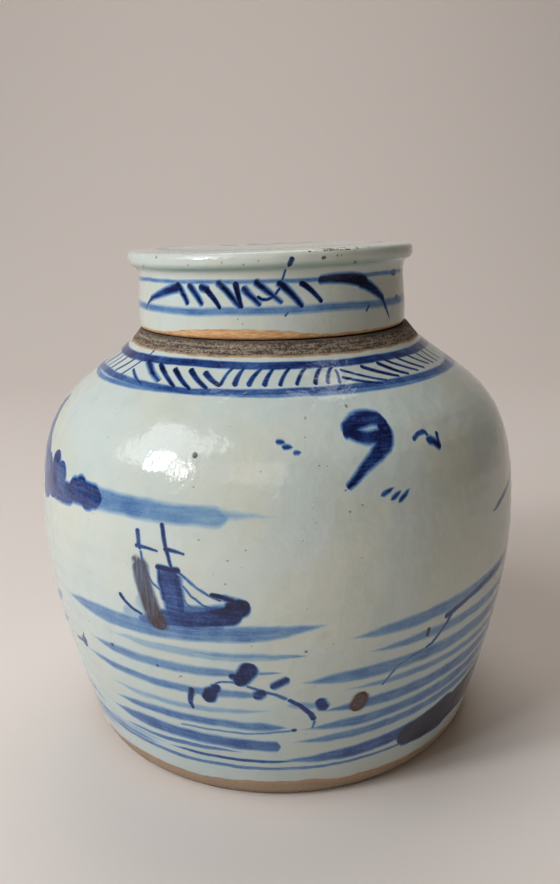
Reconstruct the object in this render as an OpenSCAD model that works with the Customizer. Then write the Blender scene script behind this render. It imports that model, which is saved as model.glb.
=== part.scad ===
// Ginger jar: a thrown porcelain pot and its loose, cap-shaped cover.
// The origin is the centre of the foot's rest plane, +Z is up, and sizes are in millimetres.

/* [Pot] */
// Widest diameter of the pot
belly_d = 220; // [180:1:280]
// Height of the widest point above the table
belly_h = 101; // [70:1:130]
// Height of the level seat on the shoulder, where the cover rests
seat_h = 187; // [150:1:240]
// Thickness of the side wall
wall_t = 5; // [3:0.1:8]
// Thickness of the floor above the recess in the foot
floor_t = 7; // [4:0.1:12]
// Height of the turn between floor and wall, inside
floor_turn = 9; // [4:0.5:16]

/* [Foot] */
// How far the foot's edge stands in from the widest point, per side
foot_inset = 22; // [10:0.5:40]
// Height of the bare clay band above the table
band_h = 9; // [5:0.5:16]
// How far the bare band steps out from bottom to top, per side
band_flare = 4.8; // [2:0.1:8]
// Lean of the wall where the glaze starts, degrees from upright
band_lean = 17; // [5:1:30]
// Width of the foot ring that touches the table
foot_ring_w = 8; // [4:0.5:14]
// Depth of the recess inside the foot ring
foot_recess = 6; // [3:0.5:10]
// Rounding in the corner of the recess
recess_round = 3; // [0.5:0.5:3]
// Chamfer on both edges of the foot ring
foot_chamfer = 0.8; // [0.3:0.1:1.5]

/* [Shoulder] */
// Slope of the shoulder where the glaze stops, degrees from level
shoulder_slope = 40; // [25:1:55]
// Run of the bare clay ring outside the seat, per side
bare_run = 5; // [2:0.1:12]
// Drop of the bare clay ring, from the seat to the glaze
bare_drop = 6; // [2:0.1:12]
// Ledge left on the seat outside the cover's skirt
seat_margin = 0.2; // [0:0.1:3]

/* [Neck] */
// Outside diameter of the neck, which the cover hides
neck_d = 103; // [70:1:140]
// Height of the neck above the seat
neck_h = 21; // [12:0.5:24]
// Thickness of the neck's wall
neck_t = 5; // [3:0.1:8]
// Rounding where the neck rises from the seat
neck_root = 1; // [0.3:0.1:2]

/* [Cover] */
// Rise of the top's centre above the rim
top_rise = 1.2; // [0:0.1:6]
// Thickness of the top at its rim
top_t = 5.5; // [3:0.1:8]
// Thickness of the skirt
skirt_t = 5.7; // [3:0.1:9]
// Rounding of the skirt's foot, outside
skirt_round = 1.6; // [0.4:0.1:2.5]
// Chamfer of the skirt's foot, inside
skirt_chamfer = 1; // [0.3:0.1:2]
// Depth of the waist drawn in under the rim
waist_in = 0.8; // [0:0.1:3]
// Distance from the waist up to the rim's lower edge
waist_drop = 5; // [3:0.5:8]
// Height of the rim's face
rim_face = 6.5; // [5:0.5:12]
// Overhang of the rim's lower edge beyond the skirt
rim_start = 1.2; // [0.5:0.1:4]
// Overhang of the rim at its widest
rim_over = 3.5; // [2:0.1:10]
// Rounding of the rim's upper edge
rim_round = 2.4; // [0.5:0.1:3]
// Rounding inside, between the skirt and the top
ceiling_round = 6; // [2:0.5:10]

/* [Fit] */
// Gap between the neck and the inside of the skirt, per side
cover_play = 3.2; // [0.5:0.1:6]
// Room between the neck's lip and the underside of the top
lip_room = 7; // [2:0.5:15]
// Gap between the seat and the skirt's foot
seat_gap = 0.3; // [0.2:0.1:1]

/* [Hidden] */
$fn = 180;

// Steps in a long curve, a short curve and a rounded edge
long_steps = 26;
short_steps = 10;
edge_steps = 6;

// Radii and heights of the cover, with z from the skirt's foot
neck_r = neck_d / 2;
skirt_in_r = neck_r + cover_play;
skirt_r = skirt_in_r + skirt_t;
waist_r = skirt_r - waist_in;
rim_r = skirt_r + rim_over;
ceiling_z = neck_h + lip_room;
rim_h = ceiling_z + top_t;
waist_z = rim_h - rim_face - waist_drop;
lid_z = seat_h + seat_gap;

// Radii and heights of the pot
belly_r = belly_d / 2;
foot_r = belly_r - foot_inset;
foot_in_r = foot_r - foot_ring_w;
band_r = foot_r + band_flare;
floor_z = foot_recess + floor_t;
mouth_r = neck_r - neck_t;
lip_r = neck_t / 2;
lip_z = seat_h + neck_h - lip_r;
seat_r = skirt_r + seat_margin;
glaze_r = seat_r + bare_run;
glaze_z = seat_h - bare_drop;

// Fullness of the wall: the pull at each end of its curves, as a share of the curve's rise
low_rise = belly_h - band_h;
low_pull = [0.32, 0.27] * low_rise;
up_rise = glaze_z - belly_h;
up_pull = [0.73, 0.44] * up_rise;

// Points along a cubic curve from a to d, drawn towards b and c, without its last point
function curve(a, b, c, d, steps) = [
    for (i = [0 : steps - 1])
        let (t = i / steps, s = 1 - t)
        s * s * s * a + 3 * s * s * t * b + 3 * s * t * t * c + t * t * t * d
];

// Points along an arc, ends included
function arc(centre, r, from, to, steps) = [
    for (i = [0 : steps])
        let (a = from + (to - from) * i / steps)
        centre + r * [cos(a), sin(a)]
];

// The inner points of a run, moved square to it by a wall's thickness
function inset(run, t) = [
    for (i = [1 : len(run) - 2])
        let (step = run[i + 1] - run[i - 1])
        run[i] + t * [-step[1], step[0]] / norm(step)
];

// The same points in the other order
function reversed(run) = [for (i = [len(run) - 1 : -1 : 0]) run[i]];

// Outside of the wall, from the foot ring's edge to the seat
band_outside = curve(
    [foot_r, foot_chamfer],
    [foot_r + band_flare / 2, band_h * 0.3],
    [band_r - tan(band_lean) * band_h * 0.3, band_h * 0.7],
    [band_r, band_h],
    edge_steps
);
wall_outside = concat(
    curve(
        [band_r, band_h],
        [band_r, band_h] + low_pull[0] * [sin(band_lean), cos(band_lean)],
        [belly_r, belly_h - low_pull[1]],
        [belly_r, belly_h],
        long_steps
    ),
    curve(
        [belly_r, belly_h],
        [belly_r, belly_h + up_pull[0]],
        [glaze_r, glaze_z] + up_pull[1] * [cos(shoulder_slope), -sin(shoulder_slope)],
        [glaze_r, glaze_z],
        long_steps
    ),
    [[glaze_r, glaze_z], [seat_r, seat_h]]
);

// Inside of the wall, above the turn into the floor
wall_inside = [for (p = inset(wall_outside, wall_t)) if (p[1] > floor_z + floor_turn) p];
turn_r = wall_inside[0][0];
floor_edge = [turn_r - floor_turn * 1.6, floor_z];

jar_outline = concat(
    [[0, foot_recess]],
    arc([foot_in_r, foot_recess] - recess_round * [1, 1], recess_round, 90, 0, edge_steps),
    [[foot_in_r, foot_chamfer], [foot_in_r + foot_chamfer, 0], [foot_r - foot_chamfer, 0]],
    band_outside,
    wall_outside,
    arc([neck_r, seat_h] + neck_root * [1, 1], neck_root, 270, 180, edge_steps),
    arc([neck_r - lip_r, lip_z], lip_r, 0, 180, short_steps),
    curve(
        [mouth_r, seat_h],
        [mouth_r, seat_h - wall_t],
        [neck_r, seat_h - wall_t],
        wall_inside[len(wall_inside) - 1],
        short_steps
    ),
    reversed(wall_inside),
    curve(
        wall_inside[0],
        [turn_r - 1, floor_z + floor_turn * 0.4],
        [turn_r - floor_turn * 0.6, floor_z],
        floor_edge,
        short_steps
    ),
    [floor_edge, [0, floor_z]]
);

lid_outline = concat(
    arc([skirt_r - skirt_round, skirt_round], skirt_round, 270, 360, edge_steps),
    curve(
        [skirt_r, skirt_round * 2],
        [skirt_r + 0.4, waist_z * 0.5],
        [waist_r, waist_z * 0.7],
        [waist_r, waist_z],
        short_steps
    ),
    curve(
        [waist_r, waist_z],
        [waist_r, waist_z + waist_drop * 0.7],
        [skirt_r + rim_start * 0.2, rim_h - rim_face - waist_drop * 0.12],
        [skirt_r + rim_start, rim_h - rim_face],
        short_steps
    ),
    curve(
        [skirt_r + rim_start, rim_h - rim_face],
        [rim_r - 0.8, rim_h - rim_face * 0.94],
        [rim_r, rim_h - rim_round * 2],
        [rim_r, rim_h - rim_round],
        short_steps
    ),
    arc([rim_r, rim_h] - rim_round * [1, 1], rim_round, 0, 84, edge_steps),
    curve(
        [rim_r * 0.9, rim_h + top_rise * 0.2],
        [rim_r * 0.6, rim_h + top_rise * 0.8],
        [rim_r * 0.3, rim_h + top_rise],
        [0, rim_h + top_rise],
        short_steps
    ),
    [[0, rim_h + top_rise], [0, ceiling_z]],
    arc([skirt_in_r, ceiling_z] - ceiling_round * [1, 1], ceiling_round, 90, 0, edge_steps),
    [[skirt_in_r, skirt_chamfer], [skirt_in_r + skirt_chamfer, 0]]
);

// The thrown pot, with its foot ring, shoulder seat and neck
module jar() {
    color([0.80, 0.83, 0.81])
    rotate_extrude()
    polygon(jar_outline);
}

// The loose cover, resting on the shoulder's seat
module lid() {
    color([0.74, 0.79, 0.79])
    translate([0, 0, lid_z])
    rotate_extrude()
    polygon(lid_outline);
}

jar();
lid();
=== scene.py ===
import math

import bpy
import numpy as np
from mathutils import Matrix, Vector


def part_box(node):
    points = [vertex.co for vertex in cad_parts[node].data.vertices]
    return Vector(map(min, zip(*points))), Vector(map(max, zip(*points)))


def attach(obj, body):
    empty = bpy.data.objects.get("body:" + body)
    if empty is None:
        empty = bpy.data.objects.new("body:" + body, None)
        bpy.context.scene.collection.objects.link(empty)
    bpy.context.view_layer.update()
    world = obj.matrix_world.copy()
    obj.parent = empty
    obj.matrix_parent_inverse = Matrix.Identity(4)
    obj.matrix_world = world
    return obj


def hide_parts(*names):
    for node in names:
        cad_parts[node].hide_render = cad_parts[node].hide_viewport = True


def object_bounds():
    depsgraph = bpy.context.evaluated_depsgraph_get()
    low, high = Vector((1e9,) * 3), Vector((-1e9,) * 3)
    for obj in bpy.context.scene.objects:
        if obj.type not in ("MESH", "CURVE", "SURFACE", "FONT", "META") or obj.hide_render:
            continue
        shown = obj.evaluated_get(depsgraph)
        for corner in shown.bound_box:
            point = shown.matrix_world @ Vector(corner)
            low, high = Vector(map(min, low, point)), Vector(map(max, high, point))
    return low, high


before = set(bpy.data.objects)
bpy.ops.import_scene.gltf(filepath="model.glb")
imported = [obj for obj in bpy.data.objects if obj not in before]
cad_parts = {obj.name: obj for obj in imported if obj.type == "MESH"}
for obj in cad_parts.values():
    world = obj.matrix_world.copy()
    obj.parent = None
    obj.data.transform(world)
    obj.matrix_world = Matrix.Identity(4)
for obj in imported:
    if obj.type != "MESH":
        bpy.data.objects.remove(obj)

# A blue and white ginger jar with its cap cover. Each piece is one thrown mesh whose outline is read
# from the CAD node that it stands for, painted with procedural brush strokes.
# Lengths are in metres where Blender holds them, and in millimetres where a name ends in _mm.
# Azimuths are in degrees round the axis: 0 faces the camera (-Y), and they grow towards +X.

cad_low, cad_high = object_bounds()
MM = 0.001


# ---- camera and stage

CAMERA_PLACE = (0.0, -0.393, 0.237)
CAMERA_PITCH = math.radians(-15.33)
CAMERA_YAW = math.radians(0.214)
CAMERA_ROLL = math.radians(-1.042)
CAMERA_LENS_MM = 34.6
CAMERA_SENSOR_MM = 36.0


def add_camera():
    data = bpy.data.cameras.new("camera")
    data.lens = CAMERA_LENS_MM
    data.sensor_width = CAMERA_SENSOR_MM
    camera = bpy.data.objects.new("camera", data)
    bpy.context.scene.collection.objects.link(camera)
    aim = Matrix.Rotation(-CAMERA_YAW, 4, "Z") @ Matrix.Rotation(math.pi / 2 + CAMERA_PITCH, 4, "X")
    camera.matrix_world = Matrix.Translation(CAMERA_PLACE) @ aim @ Matrix.Rotation(CAMERA_ROLL, 4, "Z")
    bpy.context.scene.camera = camera


FLOOR_FRONT = -2.2
FLOOR_BACK = 1.7
SWEEP_RADIUS = 0.9
SWEEP_TOP = 2.6
SWEEP_STEPS = 24
STAGE_HALF_WIDTH = 3.0


def add_stage():
    """A pale floor that sweeps up into a pale wall behind the jar."""
    path = [(FLOOR_FRONT, 0.0), (FLOOR_BACK - SWEEP_RADIUS, 0.0)]
    for step in range(1, SWEEP_STEPS + 1):
        turn = math.pi / 2 * step / SWEEP_STEPS
        y = FLOOR_BACK - SWEEP_RADIUS + SWEEP_RADIUS * math.sin(turn)
        path.append((y, SWEEP_RADIUS * (1 - math.cos(turn))))
    path.append((FLOOR_BACK, SWEEP_TOP))
    points = [(x, y, z) for y, z in path for x in (-STAGE_HALF_WIDTH, STAGE_HALF_WIDTH)]
    faces = [(2 * i, 2 * i + 1, 2 * i + 3, 2 * i + 2) for i in range(len(path) - 1)]
    mesh = bpy.data.meshes.new("stage_sweep")
    mesh.from_pydata(points, [], faces)
    mesh.shade_smooth()
    stage = bpy.data.objects.new("stage_sweep", mesh)
    bpy.context.scene.collection.objects.link(stage)
    paper = bpy.data.materials.new("stage_paper")
    paper.use_nodes = True
    shader = paper.node_tree.nodes["Principled BSDF"]
    shader.inputs["Base Color"].default_value = linear(216, 208, 202)
    shader.inputs["Roughness"].default_value = 0.85
    mesh.materials.append(paper)


def add_softbox(name, place, size, power, warmth):
    """A rectangular lamp that looks at the middle of the jar."""
    data = bpy.data.lights.new(name, "AREA")
    data.shape = "RECTANGLE"
    data.size, data.size_y = size
    data.energy = power
    data.color = warmth
    lamp = bpy.data.objects.new(name, data)
    bpy.context.scene.collection.objects.link(lamp)
    middle = (cad_low + cad_high) / 2
    lamp.location = place
    lamp.rotation_euler = (middle - lamp.location).to_track_quat("-Z", "Y").to_euler()


def add_lights():
    for lamp in (
        ("window_left", (-1.05, -0.62, 0.80), (0.2, 0.4), 6.5, (0.98, 0.99, 1.0)),
        ("window_near", (-0.86, -0.88, 0.74), (0.16, 0.36), 3.0, (0.86, 0.94, 1.0)),
        ("sky_left", (-1.35, -0.6, 1.5), (1.2, 1.3), 18.0, (0.97, 0.985, 1.0)),
        ("room_front", (-0.3, -1.7, 1.1), (0.9, 0.7), 3.4, (1.0, 0.86, 0.7)),
        ("wall_soft", (0.1, 0.8, 1.8), (1.4, 1.2), 13.0, (1.0, 0.97, 0.95)),
    ):
        add_softbox(*lamp)
    world = bpy.data.worlds.new("studio")
    world.use_nodes = True
    glow = world.node_tree.nodes["Background"].inputs
    glow["Color"].default_value = linear(214, 196, 178)
    glow["Strength"].default_value = 0.11
    bpy.context.scene.world = world
    bpy.context.scene.view_settings.view_transform = "Standard"


def linear(red, green, blue):
    """A scene colour from the usual 0 to 255 screen values."""
    parts = [c / 255 for c in (red, green, blue)]
    return tuple(p / 12.92 if p <= 0.04045 else ((p + 0.055) / 1.055) ** 2.4 for p in parts) + (1.0,)


# ---- thrown meshes

SEGMENTS = 360
RING_STEP_MM = 1.9
HIDDEN_STEP_MM = 6.0
RING_TURN = math.radians(13)
CORNER_TURN = math.radians(24)
CORNER_HOLD_MM = 0.25
AXIS_MM = 0.001
# The bake map's margin, and a hidden band's share of it against a seen one of the same length
MAP_EDGE = 0.002
HIDDEN_SHARE = 0.2


def seam_outline(node):
    """A node's outline as (radius, height) points in millimetres, from the axis below to the axis above."""
    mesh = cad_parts[node].data
    spot = {}
    for vertex in mesh.vertices:
        x, y, z = vertex.co / MM
        if x >= -AXIS_MM and abs(y) < AXIS_MM:
            spot[vertex.index] = (round(x, 2), round(z, 2))
    links = {}
    for edge in mesh.edges:
        a, b = (spot.get(v) for v in edge.vertices)
        if a and b and a != b:
            links.setdefault(a, set()).add(b)
            links.setdefault(b, set()).add(a)
    ends = [p for p in links if len(links[p]) == 1]
    walk = [min(ends, key=lambda p: p[1])]
    while True:
        onward = [p for p in links[walk[-1]] if p not in walk]
        if not onward:
            break
        walk.append(onward[0])
    walk = [p for p in walk if p[0] > AXIS_MM]
    walk = [(0.0, walk[0][1])] + walk + [(0.0, walk[-1][1])]
    area = sum(a[0] * b[1] - b[0] * a[1] for a, b in zip(walk, walk[1:] + walk[:1]))
    return walk if area > 0 else walk[::-1]


def smooth_run(run, step):
    """Points on a smooth curve through a run, closer where it turns, with one held beside each end."""
    run = np.array(run)
    gaps = np.diff(run, axis=0)
    along = np.concatenate([[0], np.cumsum(np.hypot(*gaps.T))])
    headings = np.unwrap(np.arctan2(gaps[:, 1], gaps[:, 0]))
    turns = np.concatenate([[0], np.abs(np.diff(headings)), [0]])
    effort = along / step + np.concatenate([[0], np.cumsum((turns[1:] + turns[:-1]) / 2)]) / RING_TURN
    count = max(1, math.ceil(effort[-1]))
    where = list(np.interp(np.linspace(0, effort[-1], count + 1), effort, along))
    if along[-1] > 4 * CORNER_HOLD_MM:
        where = sorted(set(where) | {CORNER_HOLD_MM, along[-1] - CORNER_HOLD_MM})
    where = np.array(where)
    if len(run) == 2:
        return np.stack([np.interp(where, along, run[:, i]) for i in (0, 1)], axis=1)
    slope = np.gradient(run, along, axis=0)
    left = np.clip(np.searchsorted(along, where, side="right") - 1, 0, len(run) - 2)
    width = (along[left + 1] - along[left])[:, None]
    t = ((where - along[left]) / width[:, 0])[:, None]
    blend = (2 * t**3 - 3 * t**2 + 1) * run[left] + (3 * t**2 - 2 * t**3) * run[left + 1]
    lean = (t**3 - 2 * t**2 + t) * slope[left] + (t**3 - t**2) * slope[left + 1]
    return blend + lean * width


def resampled(outline, is_hidden, breaks=()):
    """The outline with even rings, fine where it is seen, and its corners and stated breaks kept."""
    points = np.array(outline)
    ways = np.diff(points, axis=0)
    ways /= np.linalg.norm(ways, axis=1)[:, None]
    turns = np.arccos(np.clip((ways[1:] * ways[:-1]).sum(axis=1), -1, 1))
    corners = sorted({0, len(points) - 1, *breaks, *(i + 1 for i, t in enumerate(turns) if t > CORNER_TURN)})
    rings = [points[:1]]
    for first, last in zip(corners, corners[1:]):
        middle = points[first:last + 1].mean(axis=0)
        step = HIDDEN_STEP_MM if is_hidden(first, last, middle) else RING_STEP_MM
        rings.append(smooth_run(outline[first:last + 1], step)[1:])
    return np.concatenate(rings)


def revolve(name, rings, shift, look, hidden):
    """
    A closed mesh from rings of (radius, height). shift moves each point off the true form. look gives a band
    its materials at the front and back, from its number, radius and height. hidden lists the unseen ones.
    """
    angle = 2 * np.pi * np.arange(SEGMENTS) / SEGMENTS
    inner = rings[1:-1]
    true = np.stack([
        inner[:, :1] * np.sin(angle),
        -inner[:, :1] * np.cos(angle),
        np.repeat(inner[:, 1:], SEGMENTS, axis=1),
    ], axis=2).reshape(-1, 3)
    true = np.concatenate([[(0, 0, rings[0, 1])], true, [(0, 0, rings[-1, 1])]])
    moved = shift(true)
    zones = [look(i, *middle) for i, middle in enumerate((rings[:-1] + rings[1:]) / 2)]
    weights = np.hypot(*np.diff(rings, axis=0).T)
    weights *= [HIDDEN_SHARE if zone[0] in hidden else 1.0 for zone in zones]
    band_count = len(zones)
    top = len(true) - 1
    share = np.concatenate([[0], np.cumsum(weights)]) / np.sum(weights)
    share = MAP_EDGE + (1 - 2 * MAP_EDGE) * share
    faces, map_points = [], []
    for band in range(band_count):
        v0, v1 = share[band], share[band + 1]
        below = 1 + (band - 1) * SEGMENTS
        above = below + SEGMENTS
        for j in range(SEGMENTS):
            k = (j + 1) % SEGMENTS
            u0, u1 = j / SEGMENTS, (j + 1) / SEGMENTS
            face = [(below + j, u0, v0), (below + k, u1, v0), (above + k, u1, v1), (above + j, u0, v1)]
            if band == 0:
                face[:2] = [(0, u0, v0)]
            elif band == band_count - 1:
                face[2:] = [(top, u0, v1)]
            faces.append([corner[0] for corner in face])
            map_points += [corner[1:] for corner in face]
    mesh = bpy.data.meshes.new(name)
    mesh.from_pydata(moved * MM, [], faces)
    mesh.shade_smooth()
    slots = list(dict.fromkeys(material for zone in zones for material in zone))
    for material in slots:
        mesh.materials.append(material)
    middles = 360 * (np.arange(SEGMENTS) + 0.5) / SEGMENTS
    is_back = np.minimum(middles, 360 - middles) >= FRONT_REACH
    picks = [slots.index(zone[int(back)]) for zone in zones for back in is_back]
    mesh.polygons.foreach_set("material_index", picks)
    mesh.uv_layers.new(name="OFBake").data.foreach_set("uv", np.ravel(map_points))
    clay = mesh.attributes.new("clay_point", "FLOAT_VECTOR", "POINT")
    clay.data.foreach_set("vector", np.ravel(true))
    piece = bpy.data.objects.new(name, mesh)
    bpy.context.scene.collection.objects.link(piece)
    return piece


def smooth(value, low, high):
    t = np.clip((value - low) / (high - low), 0, 1)
    return t * t * (3 - 2 * t)


def polar(points):
    return np.hypot(points[:, 0], points[:, 1]), np.arctan2(points[:, 0], -points[:, 1])


def outwards(points, radius, growth):
    """The points with their distance from the axis grown by so many millimetres."""
    moved = points.copy()
    moved[:, :2] *= (1 + growth / np.maximum(radius, 1))[:, None]
    return moved


# ---- node wiring

class Wiring:
    """Adds nodes to a tree and joins them. A socket or a plain value can go into any input."""

    def __init__(self, tree):
        self.tree = tree

    def add(self, kind, plugs, pick=0, **settings):
        made = self.tree.nodes.new(kind)
        for name, value in settings.items():
            setattr(made, name, value)
        for where, value in plugs.items():
            if isinstance(value, bpy.types.NodeSocket):
                self.tree.links.new(value, made.inputs[where])
            else:
                made.inputs[where].default_value = value
        return made.outputs[pick]

    def math(self, operation, *values, clamp=False):
        return self.add("ShaderNodeMath", dict(enumerate(values)), operation=operation, use_clamp=clamp)

    def times(self, first, second):
        return self.math("MULTIPLY", first, second)

    def minus(self, first, second):
        return self.math("SUBTRACT", first, second)

    def scaled(self, value, factor, offset):
        """value times factor, plus offset."""
        return self.math("MULTIPLY_ADD", value, factor, offset)

    def clamp(self, value):
        """The value held between 0 and 1."""
        return self.add("ShaderNodeClamp", {0: value})

    def vector(self, operation, *values):
        pick = "Value" if operation == "DOT_PRODUCT" else "Vector"
        return self.add("ShaderNodeVectorMath", dict(enumerate(values)), pick, operation=operation)

    def rise(self, value, low, high, start=0.0, end=1.0):
        """start below low, end above high, and a smooth step between."""
        plugs = dict(enumerate((value, low, high, start, end)))
        return self.add("ShaderNodeMapRange", plugs, interpolation_type="SMOOTHSTEP")

    def noise(self, point, wavelength, detail, rough, pick=0):
        plugs = {"Vector": point, "Scale": 1 / wavelength, "Detail": detail, "Roughness": rough}
        return self.add("ShaderNodeTexNoise", plugs, pick)

    def streaks(self, point, stretch, detail, rough):
        """Noise drawn out by its own amount each way."""
        return self.noise(self.vector("MULTIPLY", point, stretch), 1.0, detail, rough)

    def mix(self, amount, first, second):
        plugs = {0: amount, 6: first, 7: second}
        return self.add("ShaderNodeMix", plugs, 2, data_type="RGBA")

    def colours(self, value, stops):
        made = self.tree.nodes.new("ShaderNodeValToRGB")
        ramp = made.color_ramp
        for number, (place, colour) in enumerate(stops):
            stop = ramp.elements[number] if number < 2 else ramp.elements.new(place)
            stop.position = place
            stop.color = colour
        self.tree.links.new(value, made.inputs[0])
        return made.outputs[0]


def make_stroke_group():
    """
    One brush stroke laid over what is there: a bent streak with shaped ends whose tone may fade along it.
    Nothing here uses a node's own clamp, because the renderer then holds every stroke in memory at once.
    """
    tree = bpy.data.node_groups.new("brush_stroke", "ShaderNodeTree")
    for name in ("Sheet", "Along", "Across"):
        tree.interface.new_socket(name=name, in_out="INPUT", socket_type="NodeSocketVector")
    numbers = ("Bend", "Width", "Widening", "Head", "Tail", "Point", "Crispness", "Tone", "Fading", "So Far")
    for name in numbers:
        tree.interface.new_socket(name=name, in_out="INPUT", socket_type="NodeSocketFloat")
    tree.interface.new_socket(name="Density", in_out="OUTPUT", socket_type="NodeSocketFloat")
    w = Wiring(tree)
    given = tree.nodes.new("NodeGroupInput").outputs
    result = tree.nodes.new("NodeGroupOutput")
    run = w.vector("DOT_PRODUCT", given["Sheet"], given["Along"])
    rest = w.minus(1.0, run)
    arch = w.times(run, rest)
    off = w.vector("DOT_PRODUCT", given["Sheet"], given["Across"])
    side = w.math("ABSOLUTE", w.scaled(arch, given["Bend"], off))
    head = w.math("MINIMUM", w.times(run, given["Head"]), 1.0)
    tail = w.math("MINIMUM", w.times(rest, given["Tail"]), 1.0)
    ends = w.times(head, tail)
    shape = w.math("POWER", w.times(ends, w.minus(2.0, ends)), given["Point"])
    width = w.scaled(run, given["Widening"], given["Width"])
    edge = w.times(shape, width)
    cover = w.clamp(w.times(w.minus(edge, side), given["Crispness"]))
    tone = w.scaled(run, given["Fading"], given["Tone"])
    density = w.math("MAXIMUM", w.times(cover, tone), given["So Far"])
    tree.links.new(density, result.inputs["Density"])
    return tree


STROKE = make_stroke_group()
ROUND_END = 1.0
LINE_SOFT_MM = 0.75
WASH_SOFT_MM = 1.8
ROUND_POINT = 0.5
TAPERED_POINT = 0.9
LEAST_TAPER = 0.05
WASH_HALF_MM = 1.5
RUN_ON = 0.7


class Brush:
    """
    Lays strokes on a sheet of millimetres round the pot and up. Where strokes meet, the darker shows.
    Points are given as (azimuth, height), and scale turns them into the sheet's own millimetres.
    """

    def __init__(self, wiring, sheet, scale, level=0.0):
        self.wiring = wiring
        self.sheet = sheet
        self.scale = scale
        self.level = level
        self.density = 0.0

    def stroke(self, start, end, half, tone, bend=0.0, taper=(0, 0), end_half=None, end_tone=None, soft=None):
        """half is half the width; bend is how far the middle bows to the left of the way it runs."""
        x0, y0 = start[0] * self.scale[0], (start[1] - self.level) * self.scale[1]
        x1, y1 = end[0] * self.scale[0], (end[1] - self.level) * self.scale[1]
        dx, dy = x1 - x0, y1 - y0
        length = math.hypot(dx, dy)
        end_half = half if end_half is None else end_half
        end_tone = tone if end_tone is None else end_tone
        soft = soft or (LINE_SOFT_MM if max(half, end_half) < WASH_HALF_MM else WASH_SOFT_MM)
        self.density = self.wiring.add("ShaderNodeGroup", {
            "Sheet": self.sheet,
            "Along": (dx / length**2, dy / length**2, -(x0 * dx + y0 * dy) / length**2),
            "Across": (-dy / length, dx / length, (x0 * dy - y0 * dx) / length),
            "Bend": -4 * bend,
            "Width": half + soft / 2,
            "Widening": end_half - half,
            "Head": 1 / max(taper[0], ROUND_END * half / length),
            "Tail": 1 / max(taper[1], ROUND_END * end_half / length),
            "Point": TAPERED_POINT if max(taper) > LEAST_TAPER else ROUND_POINT,
            "Crispness": 1 / soft,
            "Tone": tone,
            "Fading": end_tone - tone,
            "So Far": self.density,
        }, "Density", node_tree=STROKE)

    def strokes(self, rows, bend=0.0, taper=(0, 0)):
        """Rows of start, end, half and tone, and of bend and both tapers where a stroke has its own."""
        for a0, z0, a1, z1, half, tone, *own in rows:
            self.stroke((a0, z0), (a1, z1), half, tone, own[0] if own else bend, own[1:] or taper)

    def line(self, points, half, tone, end_half=None):
        """A line through several points, drawn as strokes that run on into each other."""
        end_half = half if end_half is None else end_half
        count = len(points) - 1
        for number in range(count):
            wide = half + (end_half - half) * number / count
            thin = half + (end_half - half) * (number + 1) / count
            (a0, z0), (a1, z1) = points[number], points[number + 1]
            da, dz = a1 - a0, z1 - z0
            reach = math.hypot(da * self.scale[0], dz * self.scale[1])
            back = RUN_ON * wide / reach if number else 0
            on = RUN_ON * thin / reach if number < count - 1 else 0
            start, end = (a0 - da * back, z0 - dz * back), (a1 + da * on, z1 + dz * on)
            self.stroke(start, end, wide, tone, end_half=thin)

    def dab(self, place, half, tone, length=0.0, lean=0.0):
        """A round spot, or a longer one that leans from upright by so many degrees."""
        reach = max(length / 2, half)
        side = reach * math.sin(math.radians(lean)) / self.scale[0]
        up = reach * math.cos(math.radians(lean)) / self.scale[1]
        self.stroke((place[0] - side, place[1] - up), (place[0] + side, place[1] + up), half, tone)

    def dabs(self, rows, tone, **shared):
        """Rows of place and half, and of length and lean where a dab has its own."""
        for azimuth, height, half, *own in rows:
            self.dab((azimuth, height), half, tone, *own, **shared)

    def ring(self, centre, half, tone, drift, soft=LINE_SOFT_MM):
        """A line right round the pot. drift is a socket that carries it up and down as it goes."""
        w = self.wiring
        height = w.minus(w.add("ShaderNodeSeparateXYZ", {0: self.sheet}, 1), drift)
        side = w.math("ABSOLUTE", w.minus(height, (centre - self.level) * self.scale[1]))
        cover = w.clamp(w.times(w.minus(half + soft / 2, side), 1 / soft))
        self.density = w.math("MAXIMUM", w.times(cover, tone), self.density)


# ---- brushwork

PALE = 0.24
WASH = 0.36
DEEP = 0.64
NAVY = 0.8
DARK = 0.95

BELLY_SCALE = (1.8, 1.0)
SHOULDER_SCALE = (1.33, 1.55)
SHOULDER_LEVEL = 170.4
COVER_SCALE = (1.07, 1.0)
FRONT_REACH = 95


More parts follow.
